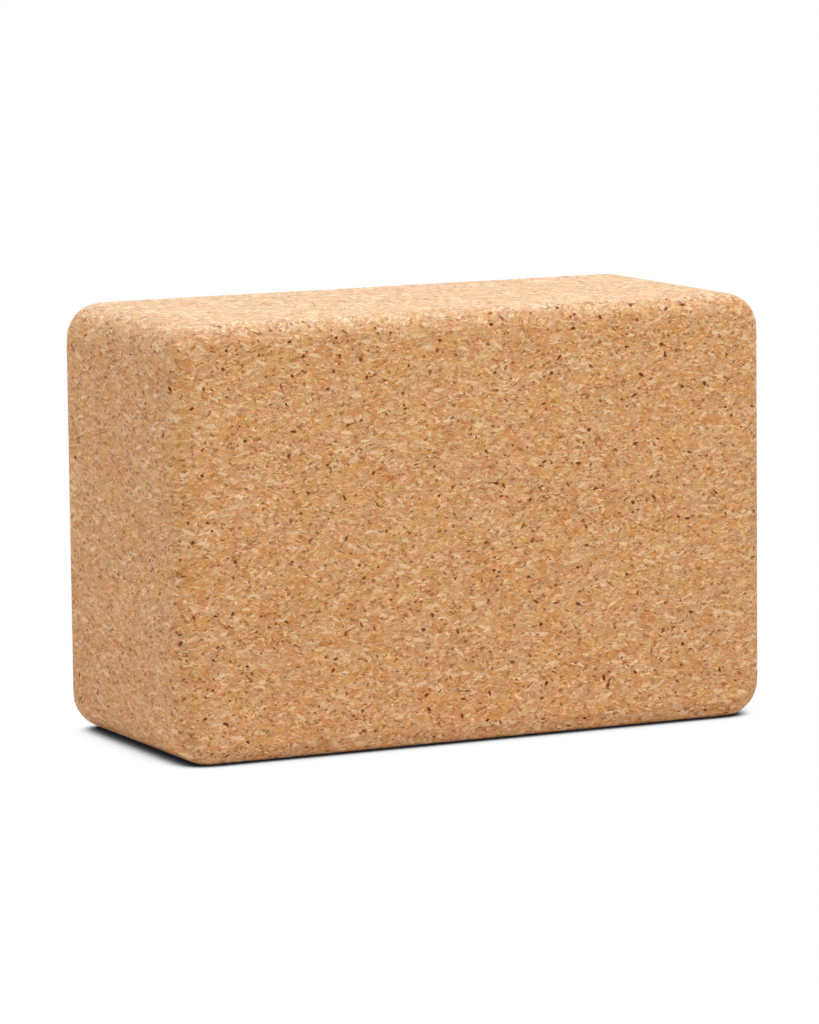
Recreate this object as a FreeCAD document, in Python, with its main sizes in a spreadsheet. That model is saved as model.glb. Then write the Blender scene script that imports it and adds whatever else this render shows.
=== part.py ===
import FreeCAD, Part
import os
import Sketcher

# Cork yoga block: one piece of agglomerated cork, pressed, cut to a brick, rounded over and sanded.
# Frame: millimetres, +Z up, the length along X, the thickness along Y, the front face towards -Y.
# Origin: the middle of the face that the block stands on.

# Driving dimensions: name, value, what it measures
DIMENSIONS = (
    ("block_length", 228.6, "nine inches, along X"),
    ("block_height", 152.4, "six inches, along Z"),
    ("block_thickness", 101.6, "four inches, along Y"),
    ("corner_radius", 13.0, "corners of the large faces, on the edges along Y"),
    ("edge_radius", 7.0, "round-over all the way round each large face"),
)

TOUCHING = 1e-4
CUBIC_MM_PER_LITRE = 1e6


def make_sheet(doc):
    """Put the driving dimensions in a spreadsheet, one aliased cell each."""
    sheet = doc.addObject("Spreadsheet::Sheet", "Dimensions")
    for row, (name, value, meaning) in enumerate(DIMENSIONS, start=1):
        sheet.set(f"A{row}", name)
        sheet.set(f"B{row}", str(value))
        sheet.set(f"C{row}", meaning)
        sheet.setAlias(f"B{row}", name)
    doc.recompute()
    return sheet


def origin_plane(body, role):
    """Give one of a body's own origin planes."""
    return next(feature for feature in body.Origin.OriginFeatures if feature.Role == role)


def edge_names(shape, wanted):
    """Name the edges of a shape that pass a test."""
    return [f"Edge{number}" for number, edge in enumerate(shape.Edges, start=1) if wanted(edge)]


def runs_along_y(edge):
    """Say whether an edge is straight and parallel to the thickness."""
    first, last = (vertex.Point for vertex in edge.Vertexes)
    return abs(first.x - last.x) < TOUCHING and abs(first.z - last.z) < TOUCHING


def bounds_large_face(edge, half_thickness):
    """Say whether an edge lies wholly in the front or the back face."""
    box = edge.BoundBox
    flat = box.YLength < TOUCHING
    return flat and abs(abs(box.Center.y) - half_thickness) < TOUCHING


def draw_face_outline(body, sheet):
    """Sketch the large face: a rectangle that stands on the X axis, with its middle at the origin."""
    sketch = body.newObject("Sketcher::SketchObject", "face_outline")
    sketch.AttachmentSupport = [(origin_plane(body, "XZ_Plane"), "")]
    sketch.MapMode = "FlatFace"

    half, height = sheet.block_length / 2, sheet.block_height
    corners = [FreeCAD.Vector(x, z, 0) for x, z in ((-half, 0), (half, 0), (half, height), (-half, height))]
    sides = zip(corners, corners[1:] + corners[:1])
    bottom, right, top, left = (sketch.addGeometry(Part.LineSegment(*ends), False) for ends in sides)

    start, end = 1, 2
    horizontal_axis, vertical_axis = -1, -2
    for line, following in ((bottom, right), (right, top), (top, left), (left, bottom)):
        sketch.addConstraint(Sketcher.Constraint("Coincident", line, end, following, start))
    sketch.addConstraint(Sketcher.Constraint("PointOnObject", bottom, start, horizontal_axis))
    sketch.addConstraint(Sketcher.Constraint("Symmetric", bottom, start, bottom, end, vertical_axis))
    sketch.addConstraint(Sketcher.Constraint("Horizontal", top))
    for line in (right, left):
        sketch.addConstraint(Sketcher.Constraint("Vertical", line))

    sizes = (("block_length", "DistanceX", bottom), ("block_height", "DistanceY", right))
    for size, direction, line in sizes:
        value = sheet.get(size)
        index = sketch.addConstraint(Sketcher.Constraint(direction, line, start, line, end, value))
        sketch.renameConstraint(index, size)
        sketch.setExpression(f"Constraints.{size}", f"Dimensions.{size}")
    return sketch


def make_cork_block(doc, sheet):
    """Build the block: the face outline padded both ways, then its corners and its edges rounded."""
    body = doc.addObject("PartDesign::Body", "cork_block")
    body.Label = "cork_block"

    slab = body.newObject("PartDesign::Pad", "pressed_slab")
    slab.Profile = draw_face_outline(body, sheet)
    slab.SideType = "Symmetric"
    slab.setExpression("Length", "Dimensions.block_thickness")
    doc.recompute()

    corners = body.newObject("PartDesign::Fillet", "rounded_corners")
    corners.Base = (slab, edge_names(slab.Shape, runs_along_y))
    corners.setExpression("Radius", "Dimensions.corner_radius")
    doc.recompute()

    half_thickness = sheet.block_thickness / 2
    rims = edge_names(corners.Shape, lambda edge: bounds_large_face(edge, half_thickness))
    edges = body.newObject("PartDesign::Fillet", "rounded_edges")
    edges.Base = (corners, rims)
    edges.setExpression("Radius", "Dimensions.edge_radius")
    body.Tip = edges
    doc.recompute()
    return body


def check(doc, pieces):
    """Stop if any object of the document failed or any piece is not one sound solid."""
    for item in doc.Objects:
        if "Invalid" in item.State or "Error" in item.State:
            raise RuntimeError(f"{item.Label} failed: {item.State}")
    for piece in pieces:
        shape = piece.Shape
        if shape.isNull() or not shape.isValid() or len(shape.Solids) != 1:
            raise RuntimeError(f"{piece.Label} is not one valid solid")


def write_steps(pieces):
    """Write each piece to a STEP file of its own name, and print what it measures."""
    os.makedirs("parts", exist_ok=True)
    for piece in pieces:
        piece.Shape.exportStep(f"parts/{piece.Label}.step")
        box = piece.Shape.optimalBoundingBox(False)
        litres = piece.Shape.Volume / CUBIC_MM_PER_LITRE
        print(f"{piece.Label}: {box.XLength:.2f} x {box.YLength:.2f} x {box.ZLength:.2f} mm, {litres:.4f} l")


document = FreeCAD.newDocument("yoga_block")
dimensions = make_sheet(document)
block = make_cork_block(document, dimensions)
check(document, [block])
write_steps([block])
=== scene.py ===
"""Cork yoga block: the block's surface and finish, and a white studio around it, in metres."""

import logging
import math
from dataclasses import dataclass, field
from enum import Enum
from typing import Any, Dict, Iterable, List, Optional, Tuple, Union

import bpy
import numpy as np
from mathutils import Matrix, Vector


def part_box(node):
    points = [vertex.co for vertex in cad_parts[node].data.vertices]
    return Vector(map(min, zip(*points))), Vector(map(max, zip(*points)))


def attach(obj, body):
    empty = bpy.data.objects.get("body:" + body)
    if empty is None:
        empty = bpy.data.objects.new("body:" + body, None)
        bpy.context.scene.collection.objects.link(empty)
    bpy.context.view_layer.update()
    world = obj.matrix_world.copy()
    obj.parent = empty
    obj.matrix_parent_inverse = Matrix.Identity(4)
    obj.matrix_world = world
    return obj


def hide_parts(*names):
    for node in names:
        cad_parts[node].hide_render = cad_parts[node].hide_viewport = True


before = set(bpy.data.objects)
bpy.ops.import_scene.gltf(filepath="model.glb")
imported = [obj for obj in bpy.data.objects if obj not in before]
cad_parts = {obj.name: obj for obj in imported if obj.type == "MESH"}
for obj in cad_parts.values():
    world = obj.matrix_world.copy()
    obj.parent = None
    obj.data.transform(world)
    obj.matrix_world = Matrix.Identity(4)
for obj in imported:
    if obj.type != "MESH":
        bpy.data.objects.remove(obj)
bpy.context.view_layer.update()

LOG = logging.getLogger("yoga_block")
MM = 0.001
PIT_DEPTH = "pit_depth"
HALF = (0.5, 0.5, 0.5)
WHITE = (1.0, 1.0, 1.0, 1.0)

Span = Tuple[float, float]
Triple = Tuple[float, float, float]
Shade = Tuple[float, float, float, float]
Screen = Tuple[int, int, int]
Direction = Tuple[int, int, int]
Plug = Union["Wire", float, int, bool, tuple, str]
Sockets = Dict[Union[str, int], Plug]


def linear(colour: Screen) -> Shade:
    """Turn a screen colour into the linear one that a socket takes.

    Args:
        colour: Red, green and blue as a screen shows them, from 0 to 255.

    Returns:
        The linear colour, with an alpha of 1.
    """
    shares = (value / 255 for value in colour)
    rgb = [share / 12.92 if share <= 0.04045 else ((share + 0.055) / 1.055) ** 2.4 for share in shares]
    return (*rgb, 1.0)


class Wire:
    """One output socket, with arithmetic that adds Math or Vector Math nodes to its tree."""

    def __init__(self, graph: "Graph", socket: bpy.types.NodeSocket) -> None:
        """Keep the socket and the graph that it belongs to."""
        self.graph = graph
        self.socket = socket

    @property
    def is_vector(self) -> bool:
        """Whether the socket carries a vector or a colour and not one number."""
        return self.socket.type in ("VECTOR", "RGBA")

    def maths(self, operation: str, *others: Plug) -> "Wire":
        """Work out an operation on this and others, in that order."""
        return self.graph.maths(operation, self, *others)

    def __add__(self, other: Plug) -> "Wire":
        """Add."""
        return self.maths("ADD", other)

    __radd__ = __add__

    def __mul__(self, other: Plug) -> "Wire":
        """Multiply."""
        return self.maths("MULTIPLY", other)

    __rmul__ = __mul__

    def __sub__(self, other: Plug) -> "Wire":
        """Subtract."""
        return self.maths("SUBTRACT", other)

    def __rsub__(self, other: Plug) -> "Wire":
        """Subtract this from a plain value."""
        return self.graph.maths("SUBTRACT", other, self)

    def __truediv__(self, other: Plug) -> "Wire":
        """Divide."""
        return self.maths("DIVIDE", other)

    def __rtruediv__(self, other: Plug) -> "Wire":
        """Divide a plain value by this."""
        return self.graph.maths("DIVIDE", other, self)

    def __abs__(self) -> "Wire":
        """Drop the sign."""
        return self.maths("ABSOLUTE")

    def at_least(self, other: Plug) -> "Wire":
        """Take the larger of two."""
        return self.maths("MAXIMUM", other)

    def over(self, limit: Plug) -> "Wire":
        """Give 1 where this is over a limit, and 0 elsewhere."""
        return self.maths("GREATER_THAN", limit)

    def length(self) -> "Wire":
        """Give a vector's length."""
        return self.graph.add("ShaderNodeVectorMath", {"operation": "LENGTH"}, {0: self})["Value"]

    def parts(self) -> Tuple["Wire", "Wire", "Wire"]:
        """Split a vector into its three numbers."""
        split = self.graph.add("ShaderNodeSeparateXYZ", {}, {0: self})
        return split[0], split[1], split[2]

    def ramp(self, low: float, high: float, start: float = 0.0, end: float = 1.0) -> "Wire":
        """Go smoothly from one value to another as this goes from low to high.

        Args:
            low: Where the change begins.
            high: Where it ends, which may be below low.
            start: The value up to low.
            end: The value from high on.

        Returns:
            The smooth step.
        """
        if low > high:
            low, high, start, end = high, low, end, start
        settings = {"interpolation_type": "SMOOTHSTEP"}
        sockets = dict(enumerate((self, low, high, start, end)))
        return self.graph.add("ShaderNodeMapRange", settings, sockets)[0]


class Made:
    """A node that a graph has added, whose outputs are read by name or number."""

    def __init__(self, graph: "Graph", node: bpy.types.Node) -> None:
        """Keep the node and its graph."""
        self.graph = graph
        self.node = node

    def __getitem__(self, output: Union[str, int]) -> Wire:
        """Give an output that is in use.

        Args:
            output: Its name, or its number among the outputs in use.

        Returns:
            The output.
        """
        shown = [socket for socket in self.node.outputs if socket.enabled]
        if isinstance(output, str):
            return Wire(self.graph, next(socket for socket in shown if socket.name == output))
        return Wire(self.graph, shown[output])


@dataclass(frozen=True)
class Noise:
    """A soft random pattern: its waves per unit of length, and how many finer waves ride on them."""

    scale: float
    detail: float


class Graph:
    """A node tree that is written as expressions."""

    def __init__(self, tree: bpy.types.NodeTree) -> None:
        """Start from an empty tree."""
        self.tree = tree
        tree.nodes.clear()

    def add(
        self,
        kind: str,
        settings: Optional[Dict[str, Any]] = None,
        sockets: Optional[Sockets] = None,
    ) -> Made:
        """Add a node, set it up and feed it.

        Args:
            kind: The node's type, such as ShaderNodeTexNoise.
            settings: Its own properties, which are set first.
            sockets: What its inputs get, by name or by number among those in use.

        Returns:
            The node.
        """
        node = self.tree.nodes.new(kind)
        for name, value in (settings or {}).items():
            setattr(node, name, value)
        for name, value in (sockets or {}).items():
            self.feed(node, name, value)
        return Made(self, node)

    def feed(self, node: bpy.types.Node, name: Union[str, int], value: Plug) -> None:
        """Link a wire to a node's input, or set the input's value.

        Args:
            node: The node.
            name: The input's name, or its number among the inputs in use.
            value: The wire or the value.
        """
        shown = [socket for socket in node.inputs if socket.enabled]
        target = shown[name] if isinstance(name, int) else next(s for s in shown if s.name == name)
        if isinstance(value, Wire):
            self.tree.links.new(value.socket, target)
        else:
            target.default_value = value

    def maths(self, operation: str, *operands: Plug) -> Wire:
        """Add the node that works out an operation.

        Args:
            operation: The node's operation, such as ADD.
            operands: What it works on, in order.

        Returns:
            The result, a vector if any operand is one.
        """
        wide = any(isinstance(o, tuple) or (isinstance(o, Wire) and o.is_vector) for o in operands)
        kind = "ShaderNodeVectorMath" if wide else "ShaderNodeMath"
        if wide:
            operands = tuple((float(o),) * 3 if isinstance(o, (int, float)) else o for o in operands)
        return self.add(kind, {"operation": operation}, dict(enumerate(operands)))[0]

    def mix(self, share: Plug, first: Plug, second: Plug) -> Wire:
        """Blend two colours.

        Args:
            share: How much of the second colour shows, from 0 to 1.
            first: The colour at 0.
            second: The colour at 1.

        Returns:
            The blended colour.
        """
        return self.add("ShaderNodeMix", {"data_type": "RGBA"}, {0: share, 1: first, 2: second})[0]

    def stops(self, share: Wire, colours: Iterable[Tuple[float, Screen]]) -> Wire:
        """Read a colour from a ramp.

        Args:
            share: The place on the ramp, from 0 to 1.
            colours: The ramp's stops, each a place and a screen colour.

        Returns:
            The colour.
        """
        node = self.add("ShaderNodeValToRGB", {}, {0: share})
        elements = node.node.color_ramp.elements
        stops = list(colours)
        while len(elements) < len(stops):
            elements.new(1.0)
        for element, (place, colour) in zip(elements, stops):
            element.position = place
            element.color = linear(colour)
        return node["Color"]

    def noise(self, pattern: Noise, place: Optional[Wire] = None) -> Made:
        """Add a soft random pattern.

        Args:
            pattern: The pattern.
            place: Where it is read, if not at each point's own place.

        Returns:
            The node, whose first output is a number from 0 to 1.
        """
        sockets: Sockets = {"Scale": pattern.scale, "Detail": pattern.detail}
        if place is not None:
            sockets["Vector"] = place
        return self.add("ShaderNodeTexNoise", {}, sockets)

    def sway(self, pattern: Noise, reach: float, place: Optional[Wire] = None) -> Wire:
        """Turn a soft random pattern into a push this way and that.

        Args:
            pattern: The pattern.
            reach: The longest push along each axis.
            place: Where the pattern is read, if not at each point's own place.

        Returns:
            The push.
        """
        return (self.noise(pattern, place)["Color"] - HALF) * (2 * reach)


@dataclass(frozen=True)
class Chips:
    """One kind of chip among the granules: a flat flake with a ragged rim. Sizes in millimetres.

    The share is of the places, one in each spacing, that hold a chip. The tilt is in radians from side to
    side, and the shift sets the chips apart from the other kinds.
    """

    spacing: float
    half_size: Triple
    share: float
    tilt: float
    shift: float
    colour: Screen
    cover: float


ORANGE_CHIPS = Chips(
    spacing=3.4, half_size=(1.8, 1.6, 0.75), share=0.6, tilt=1.2, shift=17.3,
    colour=(212, 135, 75), cover=0.55,
)
CREAM_FLAKES = Chips(
    spacing=4.4, half_size=(2.2, 2.2, 0.65), share=0.6, tilt=1.3, shift=3.7,
    colour=(238, 201, 160), cover=0.85,
)
PALE_CRUMBS = Chips(
    spacing=2.1, half_size=(0.9, 0.9, 0.36), share=0.5, tilt=1.8, shift=9.1,
    colour=(234, 191, 146), cover=0.75,
)
PALE_WISPS = Chips(
    spacing=2.3, half_size=(1.7, 1.2, 0.15), share=0.5, tilt=1.5, shift=53.9,
    colour=(243, 207, 165), cover=0.85,
)
BARK_CHIPS = Chips(
    spacing=2.5, half_size=(1.1, 1.0, 0.42), share=0.6, tilt=2.0, shift=29.9,
    colour=(157, 94, 46), cover=0.8,
)
DARK_FLECKS = Chips(
    spacing=2.1, half_size=(0.68, 0.68, 0.34), share=0.52, tilt=2.2, shift=41.3,
    colour=(130, 65, 22), cover=0.86,
)


@dataclass(frozen=True)
class Tint:
    """A colour that some granules lean to: where the lean is full, and how far the colour then covers."""

    colour: Screen
    full: float
    cover: float


RUST = Tint(colour=(214, 142, 80), full=0.85, cover=0.8)
STRAW = Tint(colour=(205, 164, 117), full=0.15, cover=0.75)
GOLD = Tint(colour=(216, 159, 88), full=0.95, cover=0.45)
ROSE = Tint(colour=(213, 157, 117), full=0.05, cover=0.45)


@dataclass(frozen=True)
class CorkFinish:
    """Agglomerated cork: granules of bark pressed together, cut through and sanded. Sizes in millimetres."""

    name: str = "sanded_cork"
    slot: str = "cork"
    ior: float = 1.3
    roughness: Span = (0.48, 0.64)
    polished: Span = (0.6, 0.1)
    bump: float = 0.13

    # Granules: pressed flat, and each bent a little by its neighbours
    granule: float = 3.0
    pressed: Triple = (1.25, 1.9, 0.9)
    wander: Noise = Noise(scale=1 / 2.4, detail=1.5)
    warp: float = 1.1

    # Layers of bark in a granule, which lie its own way and differ from the next granule's
    tilt: float = 1.5
    ripple: Noise = Noise(scale=0.9, detail=0.0)
    rippled: float = 0.45
    layers: Triple = (2.6, 2.0, 0.62)
    apart: float = 97.0
    crumb: float = 0.72
    fibre: Noise = Noise(scale=1.1, detail=1.0)
    strand: Noise = Noise(scale=2.4, detail=1.0)
    fibre_band: Span = (0.3, 0.7)
    broad: Noise = Noise(scale=1 / 14, detail=2.0)

    # How much each of these lightens the cork, and the colours from dark to light
    granule_light: float = 0.33
    crumb_light: float = 0.45
    fibre_light: float = 0.6
    strand_light: float = 0.4
    broad_light: float = 0.3
    darker: float = 0.54
    tones: Tuple[Tuple[float, Screen], ...] = (
        (0.0, (159, 100, 52)),
        (0.25, (198, 133, 82)),
        (0.5, (220, 157, 105)),
        (0.75, (230, 173, 123)),
        (1.0, (251, 217, 176)),
    )

    # Tints: the share of the hue that is a granule's or a crumb's, and the lean that has no tint
    granule_hue: float = 0.45
    crumb_hue: float = 0.55
    no_lean: float = 0.5
    hue_tints: Tuple[Tint, ...] = (RUST, STRAW)
    gold_tints: Tuple[Tint, ...] = (GOLD, ROSE)

    # Seams between granules, open only where the fibre is dark
    seam_width: float = 0.09
    seam_band: Span = (0.55, 0.4)
    seam_colour: Screen = (149, 84, 37)
    seam_cover: float = 0.28
    seam_drop: float = 0.3

    # Chips: torn along their rims and drawn out, each with a size and a strength of its own
    chips: Tuple[Chips, ...] = (
        ORANGE_CHIPS,
        CREAM_FLAKES,
        PALE_CRUMBS,
        PALE_WISPS,
        BARK_CHIPS,
        DARK_FLECKS,
    )
    ragged: Noise = Noise(scale=1.2, detail=1.0)
    torn: float = 0.6
    drawn_out: Triple = (1.0, 1.6, 1.0)
    chip_rim: Span = (1.0, 0.75)
    chip_sizes: Span = (0.5, 1.25)
    chip_strengths: Span = (0.35, 1.0)

    # Pits: painted shade, darker the deeper a point lies in a pit
    pit_shade_band: Span = (0.02, 0.4)
    pit_shade_colour: Screen = (128, 53, 12)
    pit_shade_cover: float = 0.86

    def material(self) -> bpy.types.Material:
        """Make the cork material.

        Returns:
            The material.
        """
        material = bpy.data.materials.new(self.name)
        material.use_nodes = True
        graph = Graph(material.node_tree)
        place = graph.add("ShaderNodeTexCoord")["Object"] * (1 / MM)
        colour, height = self.granules(graph, place)
        ragged = (place + graph.sway(self.ragged, self.torn, place)) / self.drawn_out
        for chips in self.chips:
            share = self.chip_mask(graph, ragged, chips) * chips.cover
            colour = graph.mix(share, colour, linear(chips.colour))
        depth = graph.add("ShaderNodeAttribute", {"attribute_name": PIT_DEPTH})["Fac"] * (1 / MM)
        # Painted shade in the pits: the deeper a point lies below the sanded surface, the more the dark pit
        # colour covers it
        sunk = depth.ramp(*self.pit_shade_band)
        colour = graph.mix(sunk * self.pit_shade_cover, colour, linear(self.pit_shade_colour))
        shine = height.ramp(*self.polished, *self.roughness).at_least(sunk)
        bump = graph.add(
            "ShaderNodeBump",
            {},
            {"Strength": 1.0, "Distance": self.bump * MM, "Height": height},
        )
        shader = graph.add(
            "ShaderNodeBsdfPrincipled",
            {},
            {"Base Color": colour, "Roughness": shine, "Normal": bump[0], "IOR": self.ior},
        )
        graph.add("ShaderNodeOutputMaterial", {}, {"Surface": shader[0]})
        return material

    def granules(self, graph: Graph, place: Wire) -> Tuple[Wire, Wire]:
        """Colour the granules, the crumbs and fibres in them, and the seams between them.

        Args:
            graph: The material's graph.
            place: The place in the cork, in millimetres.

        Returns:
            The colour and a height from 0 to 1.
        """
        bent = place / self.pressed + graph.sway(self.wander, self.warp, place)
        cells = {"Vector": bent, "Scale": 1 / self.granule}
        granule = graph.add("ShaderNodeTexVoronoi", {}, cells)
        inside = self.turned(graph, bent, granule, self.tilt)
        waved = inside + graph.sway(self.ripple, self.rippled, place)
        layered = waved / self.layers + granule["Color"] * self.apart
        crumb = graph.add("ShaderNodeTexVoronoi", {}, {"Vector": layered, "Scale": 1 / self.crumb})["Color"]
        fibre = graph.noise(self.fibre, layered)[0]
        strand = graph.noise(self.strand, layered)[0]
        broad = graph.noise(self.broad, place)[0]
        granule_tone, granule_hue, gold = granule["Color"].parts()
        crumb_tone, crumb_hue, _ = crumb.parts()

        streaks = fibre.ramp(*self.fibre_band) * self.fibre_light
        fine = streaks + strand.ramp(*self.fibre_band) * self.strand_light
        coarse = granule_tone * self.granule_light + crumb_tone * self.crumb_light
        tone = coarse + fine + broad * self.broad_light - self.darker
        colour = graph.stops(tone, self.tones)
        hue = granule_hue * self.granule_hue + crumb_hue * self.crumb_hue
        for lean, tints in ((hue, self.hue_tints), (gold, self.gold_tints)):
            for tint in tints:
                share = lean.ramp(self.no_lean, tint.full, 0.0, tint.cover)
                colour = graph.mix(share, colour, linear(tint.colour))

        edges = graph.add("ShaderNodeTexVoronoi", {"feature": "DISTANCE_TO_EDGE"}, cells)["Distance"]
        seam = edges.ramp(self.seam_width, 0.0) * fibre.ramp(*self.seam_band)
        colour = graph.mix(seam * self.seam_cover, colour, linear(self.seam_colour))
        return colour, tone - seam * self.seam_drop

    @staticmethod
    def turned(graph: Graph, spot: Wire, cell: Made, tilt: float) -> Wire:
        """Give the place inside a cell, along axes that each cell has turned its own way.

        Args:
            graph: The material's graph.
            spot: The place that the cells were read at.
            cell: The cells.
            tilt: How far a cell may lean, in radians from side to side.

        Returns:
            The place from the cell's middle.
        """
        turn = (cell["Color"] - HALF) * (tilt, tilt, math.tau)
        return graph.add(
            "ShaderNodeVectorRotate",
            {"rotation_type": "EULER_XYZ", "invert": True},
            {"Vector": spot - cell["Position"], "Rotation": turn},
        )[0]

    def chip_mask(self, graph: Graph, place: Wire, chips: Chips) -> Wire:
        """Mark where one kind of chip shows.

        Args:
            graph: The material's graph.
            place: The place in the cork, in millimetres.
            chips: The kind of chip.

        Returns:
            How strongly a chip shows, and 0 where there is none.
        """
        spot = place + (chips.shift,) * 3
        cell = graph.add("ShaderNodeTexVoronoi", {}, {"Vector": spot, "Scale": 1 / chips.spacing})
        across = self.turned(graph, spot, cell, chips.tilt)
        luck = graph.add("ShaderNodeTexWhiteNoise", {}, {"Vector": cell["Position"]})
        size, strength, _ = luck["Color"].parts()
        reach = (across / chips.half_size).length() / size.ramp(0.0, 1.0, *self.chip_sizes)
        shown = luck["Value"].over(1 - chips.share)
        return reach.ramp(*self.chip_rim) * strength.ramp(0.0, 1.0, *self.chip_strengths) * shown


@dataclass(frozen=True)
class Pits:
    """One kind of hole that missing crumbs leave in the surface. Sizes in millimetres, counts per mm2.

    A pit lies level, give or take its swing in radians. The narrow sides have a share of the pits that the
    large faces have.
    """

    spacing: float
    density: float
    half_length: Span
    half_width: Span
    half_depth: Span
    swing: float
    rough: float
    fineness: int
    on_sides: float
    seed: int


HOLLOWS = Pits(
    spacing=2.8, density=0.012, on_sides=0.4, seed=11,
    half_length=(0.6, 1.45), half_width=(0.42, 0.85), half_depth=(0.45, 0.8),
    swing=1.4, rough=0.4, fineness=2,
)
SLITS = Pits(
    spacing=3.2, density=0.016, on_sides=0.4, seed=37,
    half_length=(0.7, 1.6), half_width=(0.24, 0.42), half_depth=(0.35, 0.55),
    swing=1.0, rough=0.3, fineness=1,
)
PRICKS = Pits(
    spacing=1.3, density=0.034, on_sides=0.35, seed=23,
    half_length=(0.3, 0.65), half_width=(0.26, 0.44), half_depth=(0.28, 0.45),
    swing=3.1, rough=0.18, fineness=1,
)


class Side(Enum):
    """A side of the block, and where it lies on the square map that the block's surface is unfolded onto."""

    FRONT = (1, -1, (1, 0, 0), (0, 0, 1), (0.0, 0.0))
    BACK = (1, 1, (-1, 0, 0), (0, 0, 1), (0.0, 156.0))
    TOP = (2, 1, (0, -1, 0), (1, 0, 0), (232.0, 0.0))
    BASE = (2, -1, (0, 1, 0), (1, 0, 0), (336.0, 0.0))
    LEFT = (0, -1, (0, -1, 0), (0, 0, 1), (232.0, 232.0))
    RIGHT = (0, 1, (0, 1, 0), (0, 0, 1), (336.0, 232.0))

    def __init__(self, axis: int, facing: int, across: Direction, up: Direction, corner: Span) -> None:
        """Name a side's values.

        Args:
            axis: The number of the axis that it is square to.
            facing: Which way along that axis it faces, 1 or -1.
            across: The direction that runs across the map.
            up: The direction that runs up the map.
            corner: Its lower left corner on the map, in millimetres.
        """
        self.axis = axis
        self.facing = facing
        self.across = across
        self.up = up
        self.corner = corner


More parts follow.
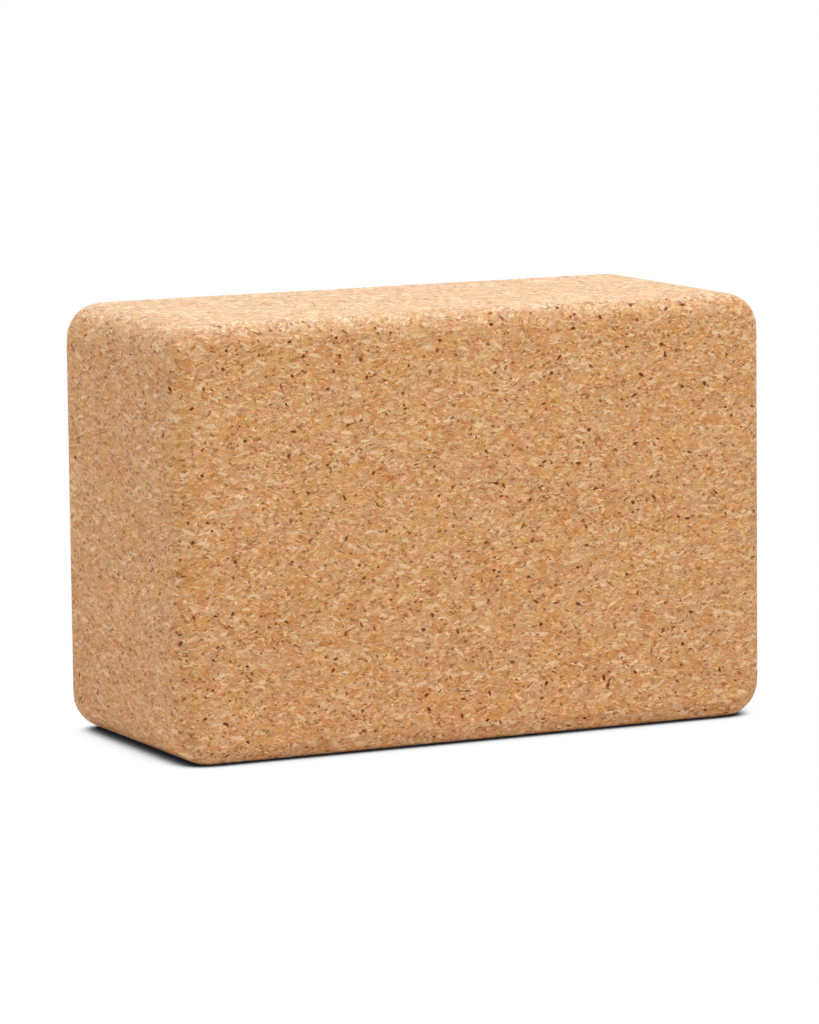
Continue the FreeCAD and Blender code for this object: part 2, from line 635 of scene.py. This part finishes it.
@dataclass
class CorkBlock:
    """The block, cut from one piece of cork. Sizes in metres, angles in radians."""

    node: str = "cork_block"
    piece: str = "cork_block_surface"
    finish: CorkFinish = CorkFinish()

    # Rounded corners of the large faces, and the rim of each large face
    corner_radius: float = 13.0 * MM
    edge_radius: float = 9.27 * MM
    edge_crease: float = math.radians(18.7)
    edge_squash: float = 0.79

    # Mesh
    mesh_step: float = 3.4 * MM
    edge_steps: int = 3
    sharp: float = math.radians(16.0)
    map_name: str = "OFBake"
    map_side: float = 440.0 * MM

    # Sanding
    relief: float = 0.06 * MM
    worn: Noise = Noise(scale=1 / (9.0 * MM), detail=1.0)

    # Pits, in loose crowds: the lumps that cut them stand out of the surface by a share of their depth
    pits: Tuple[Pits, ...] = (HOLLOWS, SLITS, PRICKS)
    crowds: Noise = Noise(scale=1 / (7.0 * MM), detail=1.0)
    crowd_band: Span = (0.42, 0.62)
    between_crowds: float = 0.25
    side_band: Span = (0.1, 0.5)
    lump_lift: float = 0.25
    crumbled: Noise = Noise(scale=1 / (0.9 * MM), detail=1.0)

    size: Vector = field(init=False)
    middle: Vector = field(init=False)

    def __post_init__(self) -> None:
        """Read the block's size from the frame."""
        low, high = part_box(self.node)
        self.size = high - low
        self.middle = (high + low) / 2

    def build(self) -> bpy.types.Object:
        """Make the block's mesh and dress it.

        Returns:
            The block, which replaces the plain solid of the frame.
        """
        inputs = self.inputs()
        tree = self.shape_tree(inputs)
        carrier = bpy.data.objects.new("carrier", bpy.data.meshes.new("carrier"))
        bpy.context.scene.collection.objects.link(carrier)
        modifier = carrier.modifiers.new("shape", "NODES")
        modifier.node_group = tree
        for item in tree.interface.items_tree:
            if item.name in inputs:
                _, value = inputs[item.name]
                modifier[item.identifier] = value
        shaped = carrier.evaluated_get(bpy.context.evaluated_depsgraph_get())
        mesh = bpy.data.meshes.new_from_object(shaped)
        bpy.data.objects.remove(carrier)
        mesh.name = self.piece
        self.lay_out(mesh)
        block = bpy.data.objects.new(self.piece, mesh)
        bpy.context.scene.collection.objects.link(block)
        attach(block, "root")
        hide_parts(self.node)
        return block

    def inputs(self) -> Dict[str, Tuple[str, Any]]:
        """List what the shape's tree is given.

        Returns:
            The kind of socket and the value of each input, by the input's name.
        """
        vector, number = "NodeSocketVector", "NodeSocketFloat"
        return {
            "Size": (vector, tuple(self.size)),
            "Middle": (vector, tuple(self.middle)),
            "Corner Radius": (number, self.corner_radius),
            "Edge Radius": (number, self.edge_radius),
            "Edge Crease": (number, self.edge_crease),
            "Edge Squash": (number, self.edge_squash),
            "Relief": (number, self.relief),
            "Material": ("NodeSocketMaterial", self.finish.material()),
        }

    def shape_tree(self, inputs: Dict[str, Tuple[str, Any]]) -> bpy.types.NodeTree:
        """Write the rule that shapes the block.

        Args:
            inputs: The kind of socket and the value of each input, by the input's name.

        Returns:
            A geometry node tree with those inputs.
        """
        tree = bpy.data.node_groups.new("cork_block_shape", "GeometryNodeTree")
        tree.interface.new_socket("Geometry", in_out="INPUT", socket_type="NodeSocketGeometry")
        tree.interface.new_socket("Geometry", in_out="OUTPUT", socket_type="NodeSocketGeometry")
        for name, (kind, _) in inputs.items():
            tree.interface.new_socket(name, in_out="INPUT", socket_type=kind)
        graph = Graph(tree)
        given = graph.add("NodeGroupInput")
        steps = [max(2, round(side / self.mesh_step) + 1) for side in self.size]
        counts = dict(zip(("Vertices X", "Vertices Y", "Vertices Z"), steps))
        cube = graph.add("GeometryNodeMeshCube", {}, {"Size": given["Size"], **counts})
        rounded = graph.add(
            "GeometryNodeSetPosition",
            {},
            {"Geometry": cube["Mesh"], "Position": self.rounding(graph, given, steps)},
        )
        sanded = graph.add(
            "GeometryNodeSetPosition",
            {},
            {"Geometry": rounded[0], "Offset": self.sanding(graph, given)},
        )[0]
        cut = graph.add(
            "GeometryNodeMeshBoolean",
            {"operation": "DIFFERENCE", "solver": "MANIFOLD"},
            {"Mesh 1": sanded},
        )
        for pits in self.pits:
            graph.feed(cut.node, "Mesh 2", self.pit_tools(graph, sanded, pits))
        near = graph.add("GeometryNodeProximity", {"target_element": "FACES"}, {0: sanded})
        marked = graph.add(
            "GeometryNodeStoreNamedAttribute",
            {"data_type": "FLOAT", "domain": "POINT"},
            {"Geometry": cut["Mesh"], "Name": PIT_DEPTH, "Value": near["Distance"]},
        )
        smooth = graph.add(
            "GeometryNodeSetShadeSmooth",
            {"domain": "FACE"},
            {0: marked[0], "Shade Smooth": True},
        )
        angle = graph.add("GeometryNodeInputMeshEdgeAngle")["Unsigned Angle"]
        creased = graph.add(
            "GeometryNodeSetShadeSmooth",
            {"domain": "EDGE"},
            {0: smooth[0], "Selection": angle.over(self.sharp), "Shade Smooth": False},
        )
        moved = graph.add(
            "GeometryNodeTransform",
            {},
            {"Geometry": creased[0], "Translation": given["Middle"]},
        )
        real = graph.add("GeometryNodeRealizeInstances", {}, {0: moved[0]})
        dressed = graph.add("GeometryNodeSetMaterial", {}, {0: real[0], "Material": given["Material"]})
        graph.add("NodeGroupOutput", {}, {0: dressed[0]})
        return tree

    def rounding(self, graph: Graph, given: Made, steps: List[int]) -> Wire:
        """Move the points of a plain brick onto the rounded block.

        Args:
            graph: The shape's graph.
            given: The tree's inputs.
            steps: How many points the brick has along each axis.

        Returns:
            The new position of each point, about the block's middle.
        """
        corner, edge, squash = given["Corner Radius"], given["Edge Radius"], given["Edge Squash"]
        beyond = edge * given["Edge Crease"].maths("SINE")
        wide = edge - beyond
        tall = edge * given["Edge Crease"].maths("COSINE")
        deep = tall * squash
        halves = (given["Size"] * 0.5).parts()
        place = graph.add("GeometryNodeInputPosition")[0].parts()
        signs = [part.maths("SIGN") for part in place]
        tiny = 1e-9

        # Rows of points along the brick's edges: the same few of them go round each rounded edge
        spread = []
        for part, half, count, inset in zip(place, halves, steps, (wide, deep, wide)):
            inward = half - abs(part)
            share = 2 * self.edge_steps / (count - 1)
            inner = inset + (inward - half * share) * ((half - inset) / (half * (1 - share)))
            spread.append(half - (inward * (inset / (half * share))).at_least(inner))
        x, y, z = spread
        half_x, half_y, half_z = halves

        # Corners of the large faces: squares about a corner's centre become circles
        corner_x = (x - half_x + corner).at_least(0.0)
        corner_z = (z - half_z + corner).at_least(0.0)
        reach = corner_x.at_least(corner_z)
        span = (corner_x * corner_x + corner_z * corner_z).maths("SQRT").at_least(tiny)
        normal_x, normal_z = corner_x / span, corner_z / span

        # Rim of each large face: an arc that leaves the narrow side smoothly and meets the face at an angle
        out = (reach - corner + wide).at_least(0.0)
        along = (y - half_y + deep).at_least(0.0)
        raised = along / squash
        rim = (out * out + raised * raised).maths("SQRT").at_least(tiny)
        lean = beyond * out / rim
        arc = (lean * lean + tall * tall).maths("SQRT") - lean
        shrink = arc / rim
        sunk = out * shrink - out
        new_x = x - corner_x + normal_x * (reach + sunk)
        new_z = z - corner_z + normal_z * (reach + sunk)
        new_y = y - along + along * shrink
        moved = [part * sign for part, sign in zip((new_x, new_y, new_z), signs)]
        return graph.add("ShaderNodeCombineXYZ", {}, dict(enumerate(moved)))[0]

    def sanding(self, graph: Graph, given: Made) -> Wire:
        """Sink the surface a little, unevenly, as soft granules wear.

        Args:
            graph: The shape's graph.
            given: The tree's inputs.

        Returns:
            The offset of each point.
        """
        depth = graph.noise(self.worn)[0] * given["Relief"]
        normal = graph.add("GeometryNodeInputNormal")[0]
        return normal * (depth * -1.0)

    def pit_tools(self, graph: Graph, surface: Wire, pits: Pits) -> Wire:
        """Scatter the lumps that are cut out of the surface.

        Args:
            graph: The shape's graph.
            surface: The block's surface.
            pits: The kind of pit.

        Returns:
            The lumps as real meshes.
        """
        facing = abs(graph.add("GeometryNodeInputNormal")[0].parts()[1])
        crowded = graph.noise(self.crowds)[0].ramp(*self.crowd_band, self.between_crowds, 1.0)
        points = graph.add(
            "GeometryNodeDistributePointsOnFaces",
            {"distribute_method": "POISSON"},
            {
                "Mesh": surface,
                "Distance Min": pits.spacing * MM,
                "Density Max": pits.density / MM**2,
                "Density Factor": crowded * facing.ramp(*self.side_band, pits.on_sides, 1.0),
                "Seed": pits.seed,
            },
        )
        ranges = (pits.half_length, pits.half_width, pits.half_depth)
        size = graph.add(
            "FunctionNodeRandomValue",
            {"data_type": "FLOAT_VECTOR"},
            {
                "Min": tuple(low * MM for low, _ in ranges),
                "Max": tuple(high * MM for _, high in ranges),
                "Seed": pits.seed + 1,
            },
        )[0]
        swing = graph.add(
            "FunctionNodeRandomValue",
            {"data_type": "FLOAT"},
            {"Min": -pits.swing, "Max": pits.swing, "Seed": pits.seed + 2},
        )[0]
        lump = graph.add("GeometryNodeMeshIcoSphere", {}, {"Radius": 1.0, "Subdivisions": pits.fineness})
        lifted = graph.add(
            "GeometryNodeTransform",
            {},
            {"Geometry": lump["Mesh"], "Translation": (0.0, 0.0, self.lump_lift)},
        )
        normal = points["Normal"]
        upright = graph.add("FunctionNodeAlignRotationToVector", {"axis": "Z"}, {"Vector": normal})[0]
        lying = graph.add(
            "FunctionNodeAlignRotationToVector",
            {"axis": "X", "pivot_axis": "Z"},
            {"Rotation": upright, "Vector": normal.maths("CROSS_PRODUCT", (0.0, 0.0, 1.0))},
        )[0]
        placed = graph.add(
            "GeometryNodeInstanceOnPoints",
            {},
            {"Points": points["Points"], "Instance": lifted[0], "Rotation": lying, "Scale": size},
        )
        roll = graph.add("ShaderNodeCombineXYZ", {}, {2: swing})[0]
        rolled = graph.add("GeometryNodeRotateInstances", {}, {"Instances": placed[0], "Rotation": roll})
        real = graph.add("GeometryNodeRealizeInstances", {}, {0: rolled[0]})
        rough = graph.sway(self.crumbled, pits.rough * MM)
        return graph.add("GeometryNodeSetPosition", {}, {"Geometry": real[0], "Offset": rough})[0]

    @staticmethod
    def read(items: bpy.types.bpy_prop_collection, name: str, width: int, kind: type) -> np.ndarray:
        """Read one property of all of a mesh's points, faces or face corners.

        Args:
            items: The points, faces or face corners.
            name: The property.
            width: How many numbers it has.
            kind: What kind of number they are.

        Returns:
            A row of numbers for each item, or one list if a row would hold one number.
        """
        values = np.empty(len(items) * width, kind)
        items.foreach_get(name, values)
        return values if width == 1 else values.reshape(-1, width)

    def lay_out(self, mesh: bpy.types.Mesh) -> None:
        """Unfold the six sides onto one square map, each seen straight on.

        Args:
            mesh: The block's mesh.
        """
        points = self.read(mesh.vertices, "co", 3, float) - np.array(self.middle)
        centres = self.read(mesh.polygons, "center", 3, float) - np.array(self.middle)
        corners = self.read(mesh.loops, "vertex_index", 1, int)
        counts = self.read(mesh.polygons, "loop_total", 1, int)
        half = np.array(self.size) / 2
        outermost = np.argmax(np.abs(centres) - half, axis=1)
        spots = np.zeros((len(corners), 2))
        for side in Side:
            mine = (outermost == side.axis) & (np.sign(centres[:, side.axis]) == side.facing)
            chosen = np.repeat(mine, counts)
            for row, line in enumerate((side.across, side.up)):
                reach = np.abs(line) @ half
                spots[chosen, row] = points[corners[chosen]] @ line + reach + side.corner[row] * MM
        layer = mesh.uv_layers.new(name=self.map_name)
        layer.data.foreach_set("uv", (spots / self.map_side).ravel())


COOL_WHITE = (0.97, 1.0, 0.98)
WARM_WHITE = (0.98, 0.985, 0.86)
ICE_WHITE = (0.7, 1.0, 0.98)


class Reach(Enum):
    """What a light shows in: the matte colour of a surface, its gloss, or all of it."""

    ALL = "all"
    MATTE = "matte"
    GLOSS = "gloss"


@dataclass(frozen=True)
class SoftBox:
    """A square softbox that points at the block. Angles in degrees, distances in metres."""

    name: str
    azimuth: float
    elevation: float
    watts: float
    colour: Triple
    reach: Reach = Reach.ALL
    side: float = 1.0
    distance: float = 1.6

    def build(self, target: Vector) -> None:
        """Hang the light.

        Args:
            target: What it points at.
        """
        light = bpy.data.lights.new(self.name, "AREA")
        light.size = self.side
        light.energy = self.watts
        light.color = self.colour
        lamp = bpy.data.objects.new(self.name, light)
        lamp.visible_diffuse = self.reach is not Reach.GLOSS
        lamp.visible_glossy = self.reach is not Reach.MATTE
        turn, rise = math.radians(self.azimuth), math.radians(self.elevation)
        away = Vector((math.sin(turn) * math.cos(rise), -math.cos(turn) * math.cos(rise), math.sin(rise)))
        lamp.location = target + away * self.distance
        lamp.rotation_euler = away.to_track_quat("Z", "Y").to_euler()
        bpy.context.scene.collection.objects.link(lamp)


KEY_BOX = SoftBox("key_box", azimuth=8.0, elevation=57.0, watts=26.2, colour=COOL_WHITE)
LEFT_FILL = SoftBox("left_fill", azimuth=-110.0, elevation=12.0, watts=10.3, colour=WARM_WHITE)
RIGHT_FILL = SoftBox("right_fill", azimuth=118.0, elevation=14.0, watts=2.4, colour=WARM_WHITE)
BACK_BOX = SoftBox(
    "back_box", azimuth=152.0, elevation=22.0, watts=4.2, colour=COOL_WHITE, reach=Reach.MATTE,
)
REAR_FILL = SoftBox(
    "rear_fill", azimuth=180.0, elevation=12.0, watts=7.0, colour=COOL_WHITE, reach=Reach.MATTE,
)
TOP_BOX = SoftBox(
    "top_box", azimuth=160.0, elevation=75.0, watts=128.0, colour=ICE_WHITE, reach=Reach.GLOSS, side=2.4,
)


@dataclass(frozen=True)
class Studio:
    """A white sweep with soft light. Sizes in metres."""

    ambient: float = 0.06
    boxes: Tuple[SoftBox, ...] = (KEY_BOX, LEFT_FILL, RIGHT_FILL, BACK_BOX, REAR_FILL, TOP_BOX)
    floor_side: float = 12.0
    floor_grey: float = 0.92

    # Shadow where the block meets the floor: how far it reaches, and the direction that it falls away from
    shadow_reach: float = 30.0 * MM
    shadow_source: Triple = (-0.45, 0.17, 0.88)
    shadow_samples: int = 16
    shadow_band: Span = (0.2, 0.6)
    shadow_colour: Screen = (28, 30, 34)

    def build(self, target: Vector) -> None:
        """Set up the floor, the backdrop and the lights.

        Args:
            target: What the lights point at.
        """
        self.build_world()
        self.build_floor()
        for box in self.boxes:
            box.build(target)

    @staticmethod
    def seen_directly(graph: Graph) -> Wire:
        """Tell what the camera, a reflection or a clear piece looks at from what only gives light.

        Args:
            graph: The graph of a material or of the world.

        Returns:
            1 where it is looked at, and 0 for other light.
        """
        path = graph.add("ShaderNodeLightPath")
        mirrored = path["Is Glossy Ray"].at_least(path["Is Transmission Ray"])
        return path["Is Camera Ray"].at_least(mirrored)

    def build_world(self) -> None:
        """Make the backdrop white to the camera, and an even soft light to the block."""
        world = bpy.data.worlds.new("white_backdrop")
        world.use_nodes = True
        graph = Graph(world.node_tree)
        shade = (self.ambient,) * 3 + (1.0,)
        colour = graph.mix(self.seen_directly(graph), shade, WHITE)
        light = graph.add("ShaderNodeBackground", {}, {"Color": colour})
        graph.add("ShaderNodeOutputWorld", {}, {"Surface": light[0]})
        bpy.context.scene.world = world

    def build_floor(self) -> None:
        """Lay the floor."""
        half = self.floor_side / 2
        mesh = bpy.data.meshes.new("floor")
        corners = [(-half, -half, 0), (half, -half, 0), (half, half, 0), (-half, half, 0)]
        mesh.from_pydata(corners, [], [(0, 1, 2, 3)])
        mesh.materials.append(self.floor_material())
        floor = bpy.data.objects.new("floor", mesh)
        bpy.context.scene.collection.objects.link(floor)

    def floor_material(self) -> bpy.types.Material:
        """Make the floor white to the camera, with the shadow where the block meets it.

        Returns:
            The material.
        """
        material = bpy.data.materials.new("white_floor")
        material.use_nodes = True
        graph = Graph(material.node_tree)
        open_sky = graph.add(
            "ShaderNodeAmbientOcclusion",
            {"samples": self.shadow_samples},
            {"Distance": self.shadow_reach, "Normal": self.shadow_source},
        )["AO"]
        colour = graph.mix(open_sky.ramp(*self.shadow_band), linear(self.shadow_colour), WHITE)
        glow = graph.add("ShaderNodeEmission", {}, {"Color": colour})
        grey = (self.floor_grey,) * 3 + (1.0,)
        matte = graph.add("ShaderNodeBsdfDiffuse", {}, {"Color": grey})
        shares = {0: self.seen_directly(graph), 1: matte[0], 2: glow[0]}
        both = graph.add("ShaderNodeMixShader", {}, shares)
        graph.add("ShaderNodeOutputMaterial", {}, {"Surface": both[0]})
        return material


@dataclass(frozen=True)
class PhotoCamera:
    """The camera where the photograph was taken from. Angles in degrees, distances in metres."""

    yaw: float = 25.85
    pitch: float = 7.68
    roll: float = -0.63
    distance: float = 1.982
    aside: float = 1.9 * MM
    above: float = 0.6 * MM
    focal_pixels: float = 5557.0
    picture_height: float = 1024.0
    sensor_mm: float = 36.0
    farthest: float = 100.0

    def build(self, target: Vector) -> None:
        """Set up the camera.

        Args:
            target: The block's middle.
        """
        yaw, pitch, roll = (math.radians(angle) for angle in (self.yaw, self.pitch, self.roll))
        ahead = Vector((math.sin(yaw) * math.cos(pitch), math.cos(yaw) * math.cos(pitch), -math.sin(pitch)))
        level = Vector((math.cos(yaw), -math.sin(yaw), 0.0))
        upright = level.cross(ahead)
        right = math.cos(roll) * level + math.sin(roll) * upright
        up = math.cos(roll) * upright - math.sin(roll) * level
        data = bpy.data.cameras.new("photo_camera")
        data.sensor_width = self.sensor_mm
        data.lens = self.sensor_mm * self.focal_pixels / self.picture_height
        data.clip_end = self.farthest
        camera = bpy.data.objects.new("photo_camera", data)
        eye = target - ahead * self.distance - right * self.aside - up * self.above
        turned = Matrix((right, up, -ahead)).transposed()
        camera.matrix_world = Matrix.Translation(eye) @ turned.to_4x4()
        bpy.context.scene.collection.objects.link(camera)
        bpy.context.scene.camera = camera


def main() -> None:
    """Build the block, the studio and the camera."""
    logging.basicConfig(level=logging.INFO, format="%(name)s: %(message)s")
    bpy.context.scene.view_settings.view_transform = "Standard"
    block = CorkBlock()
    piece = block.build()
    LOG.info("%s: %d faces", piece.name, len(piece.data.polygons))
    Studio().build(block.middle)
    PhotoCamera().build(block.middle)


if __name__ == "__main__":
    main()
